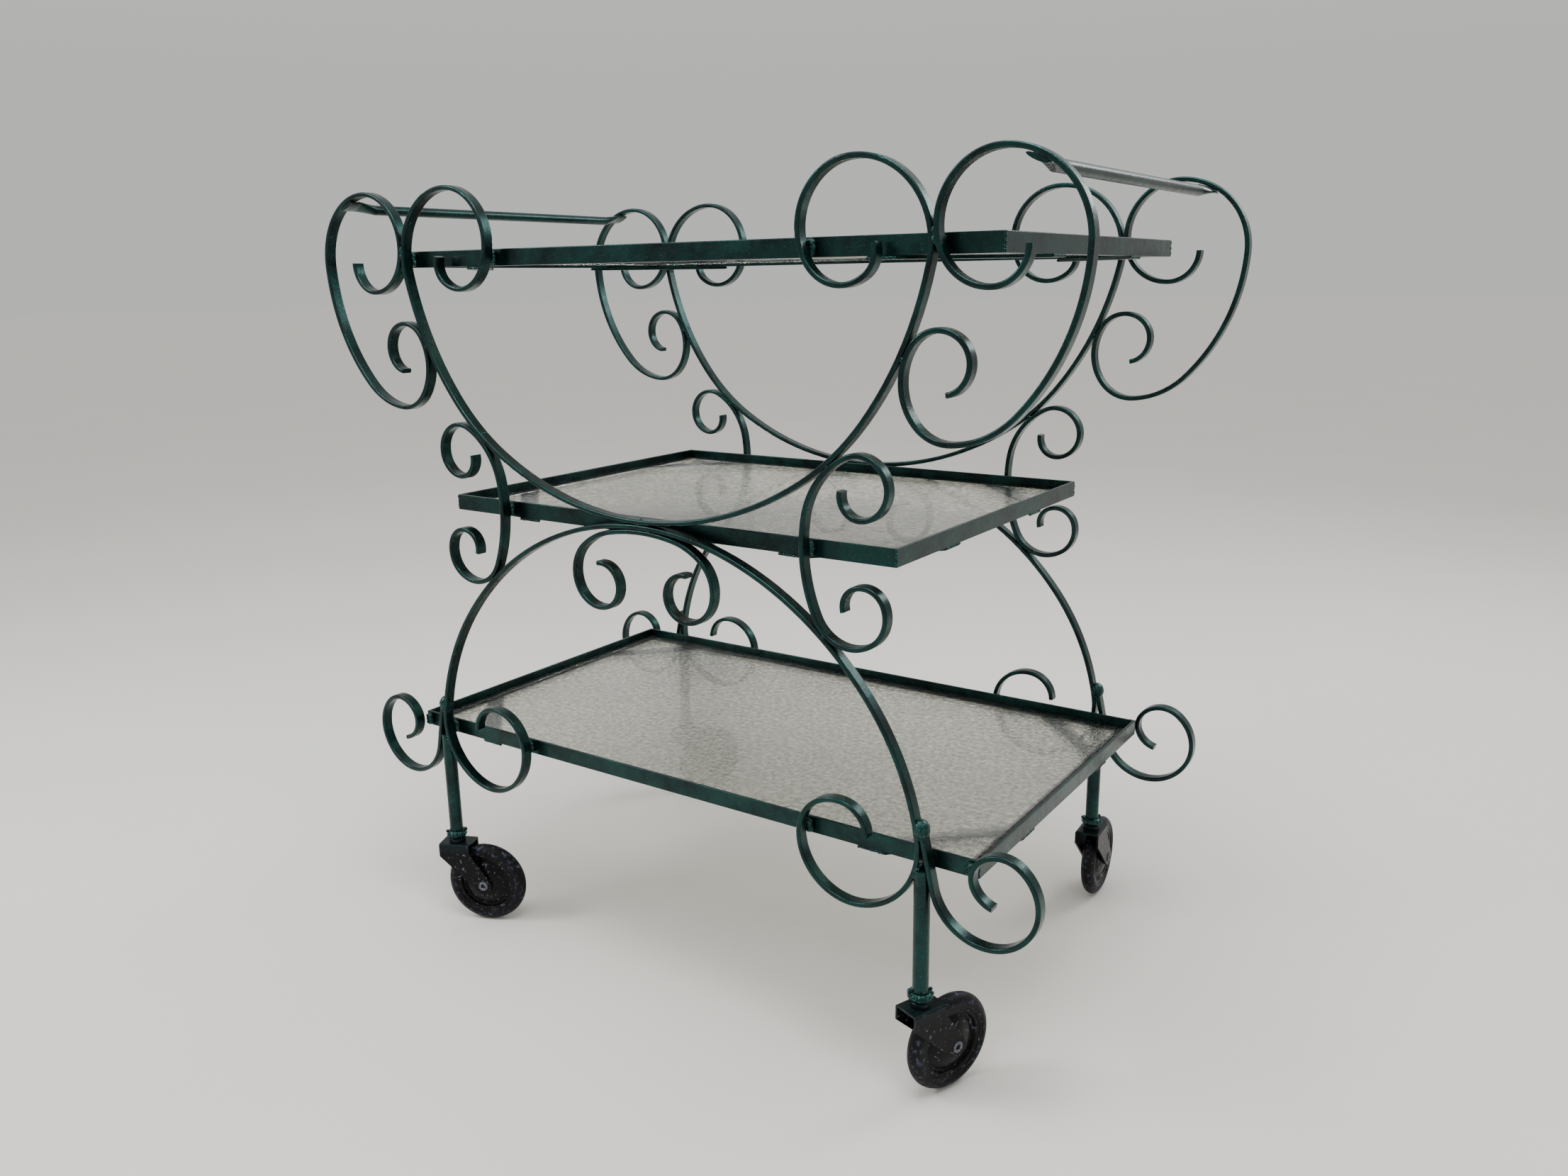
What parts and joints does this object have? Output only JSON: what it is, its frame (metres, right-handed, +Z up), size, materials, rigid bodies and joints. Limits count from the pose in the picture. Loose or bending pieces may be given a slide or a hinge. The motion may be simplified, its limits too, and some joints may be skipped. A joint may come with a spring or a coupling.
{
  "type": "bar cart on wheels",
  "caption": "Scrolled flat-bar serving cart with glass-paned angle-iron shelves, end handle rods and swivel casters on round legs.",
  "frame": {"origin": "on the floor, midway between the four legs", "axes": "+X along the cart towards the right-hand handle, +Y from the front side frame to the back one, +Z up"},
  "size_m": [0.908, 0.5536, 0.8601],
  "materials": {
    "green_enamel": "satin",
    "glass": "rippled",
    "tyre": "scuffed",
    "wheel_disc": "satin",
    "caster_steel": "satin",
    "worn_steel": "worn"
  },
  "bodies": {
    "frame": {"back_arch": "green_enamel", "back_bow": "green_enamel", "back_centre_scroll": "green_enamel", "back_handle_scroll_left": "green_enamel", "back_handle_scroll_right": "green_enamel", "back_leg_left": "green_enamel", "back_leg_right": "green_enamel", "back_outer_scroll_left": "green_enamel", "back_outer_scroll_right": "green_enamel", "back_side_scroll_left": "green_enamel", "back_side_scroll_right": "green_enamel", "front_arch": "green_enamel", "front_bow": "green_enamel", "front_centre_scroll": "green_enamel", "front_handle_scroll_left": "green_enamel", "front_handle_scroll_right": "green_enamel", "front_leg_left": "green_enamel", "front_leg_right": "green_enamel", "front_outer_scroll_left": "green_enamel", "front_outer_scroll_right": "green_enamel", "front_side_scroll_left": "green_enamel", "front_side_scroll_right": "green_enamel", "handle_rod_left": "green_enamel", "handle_rod_right": "green_enamel", "leg_weld_rings": "green_enamel", "lower_braces": "green_enamel", "lower_glass": "glass", "lower_spacers": "green_enamel", "lower_tray": "green_enamel", "middle_braces": "green_enamel", "middle_glass": "glass", "middle_spacers": "green_enamel", "middle_tray": "green_enamel", "top_braces": "green_enamel", "top_glass": "glass", "top_spacers": "green_enamel", "top_tray": "green_enamel"},
    "front_left_fork": {"front_left_caster_fork": "caster_steel", "front_left_caster_swivel_pin": "caster_steel", "front_left_caster_axle": "worn_steel"},
    "front_left_wheel": {"front_left_caster_hub": "wheel_disc", "front_left_caster_tyre": "tyre"},
    "front_right_fork": {"front_right_caster_fork": "caster_steel", "front_right_caster_swivel_pin": "caster_steel", "front_right_caster_axle": "worn_steel"},
    "front_right_wheel": {"front_right_caster_hub": "wheel_disc", "front_right_caster_tyre": "tyre"},
    "back_left_fork": {"back_left_caster_fork": "caster_steel", "back_left_caster_swivel_pin": "caster_steel", "back_left_caster_axle": "worn_steel"},
    "back_left_wheel": {"back_left_caster_hub": "wheel_disc", "back_left_caster_tyre": "tyre"},
    "back_right_fork": {"back_right_caster_fork": "caster_steel", "back_right_caster_swivel_pin": "caster_steel", "back_right_caster_axle": "worn_steel"},
    "back_right_wheel": {"back_right_caster_hub": "wheel_disc", "back_right_caster_tyre": "tyre"}
  },
  "joints": [
    {"name": "front_left_swivel", "type": "hinge", "parent": "frame", "child": "front_left_fork", "pos_m": [-0.3185, -0.22365, 0.105], "axis": [0, 0, 1], "continuous": true},
    {"name": "front_left_roll", "type": "hinge", "parent": "front_left_fork", "child": "front_left_wheel", "pos_m": [-0.28607, -0.20921, 0.049], "axis": [-0.4067, 0.9135, 0], "continuous": true},
    {"name": "front_right_swivel", "type": "hinge", "parent": "frame", "child": "front_right_fork", "pos_m": [0.3185, -0.22365, 0.105], "axis": [0, 0, 1], "continuous": true},
    {"name": "front_right_roll", "type": "hinge", "parent": "front_right_fork", "child": "front_right_wheel", "pos_m": [0.33122, -0.19051, 0.049], "axis": [-0.9336, 0.3584, 0], "continuous": true},
    {"name": "back_left_swivel", "type": "hinge", "parent": "frame", "child": "back_left_fork", "pos_m": [-0.3185, 0.22365, 0.105], "axis": [0, 0, 1], "continuous": true},
    {"name": "back_left_roll", "type": "hinge", "parent": "back_left_fork", "child": "back_left_wheel", "pos_m": [-0.29969, 0.25376, 0.049], "axis": [-0.848, 0.5299, 0], "continuous": true},
    {"name": "back_right_swivel", "type": "hinge", "parent": "frame", "child": "back_right_fork", "pos_m": [0.3185, 0.22365, 0.105], "axis": [0, 0, 1], "continuous": true},
    {"name": "back_right_roll", "type": "hinge", "parent": "back_right_fork", "child": "back_right_wheel", "pos_m": [0.31602, 0.25906, 0.049], "axis": [-0.9976, -0.0698, 0], "continuous": true}
  ]
}
